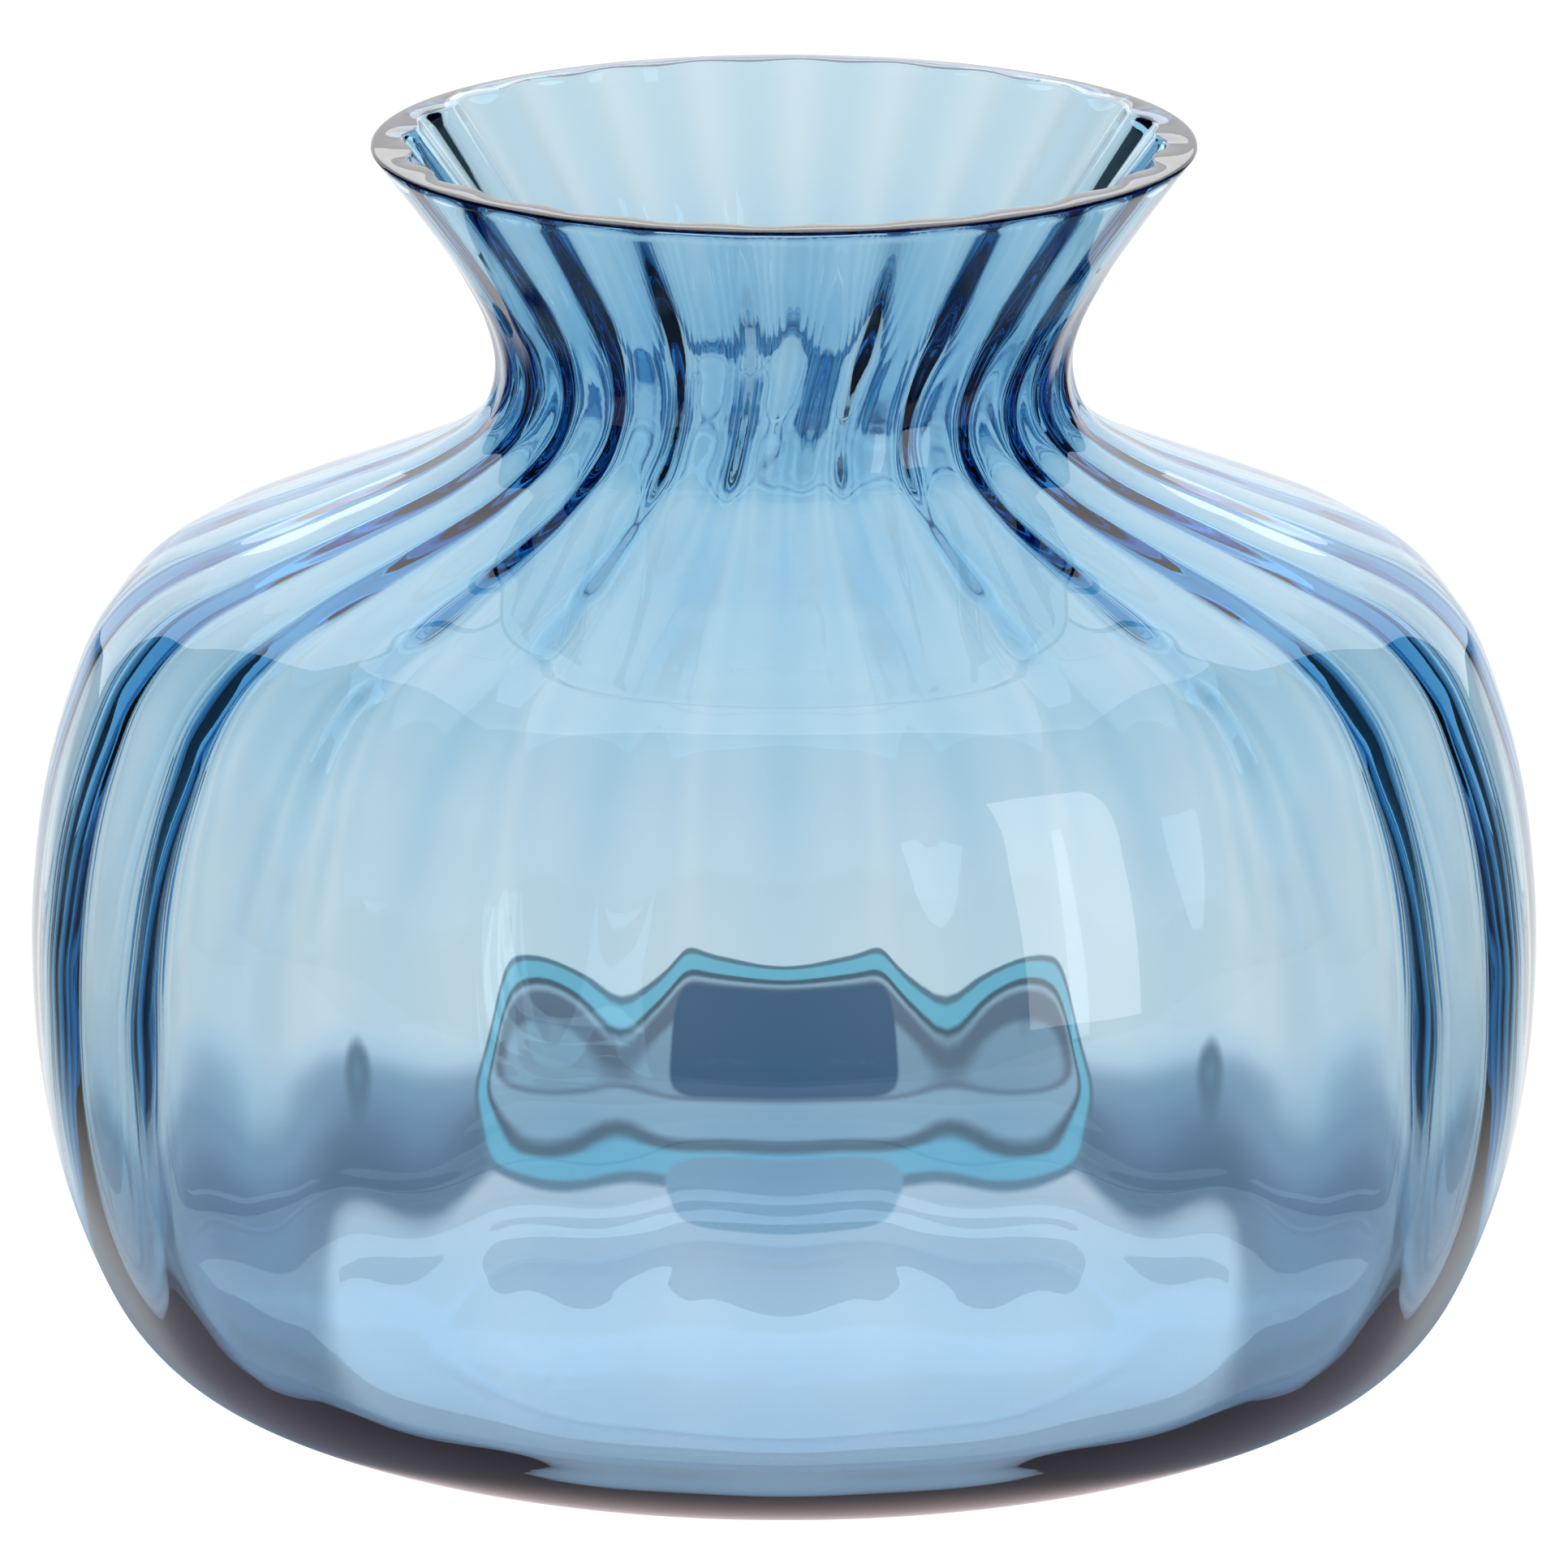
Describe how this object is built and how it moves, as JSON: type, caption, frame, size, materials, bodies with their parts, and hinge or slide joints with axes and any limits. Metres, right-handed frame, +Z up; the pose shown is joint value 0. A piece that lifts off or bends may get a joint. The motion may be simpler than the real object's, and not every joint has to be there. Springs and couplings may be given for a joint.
{
  "type": "glass bud vase",
  "caption": "Squat round vase of optic-blown transparent blue glass with soft vertical ribs inside, a narrow waisted neck and a flared, flat-cut rim.",
  "frame": {"origin": "middle of the foot, at the height of the surface the vase stands on", "axes": "+Z up along the axis of the vase, -Y towards the viewer of the pictured side"},
  "size_m": [0.125, 0.125, 0.106],
  "materials": {
    "blue_glass": "clear polished glass, steel-blue tint"
  },
  "bodies": {
    "root": {"vase_body": "blue_glass"}
  },
  "joints": []
}
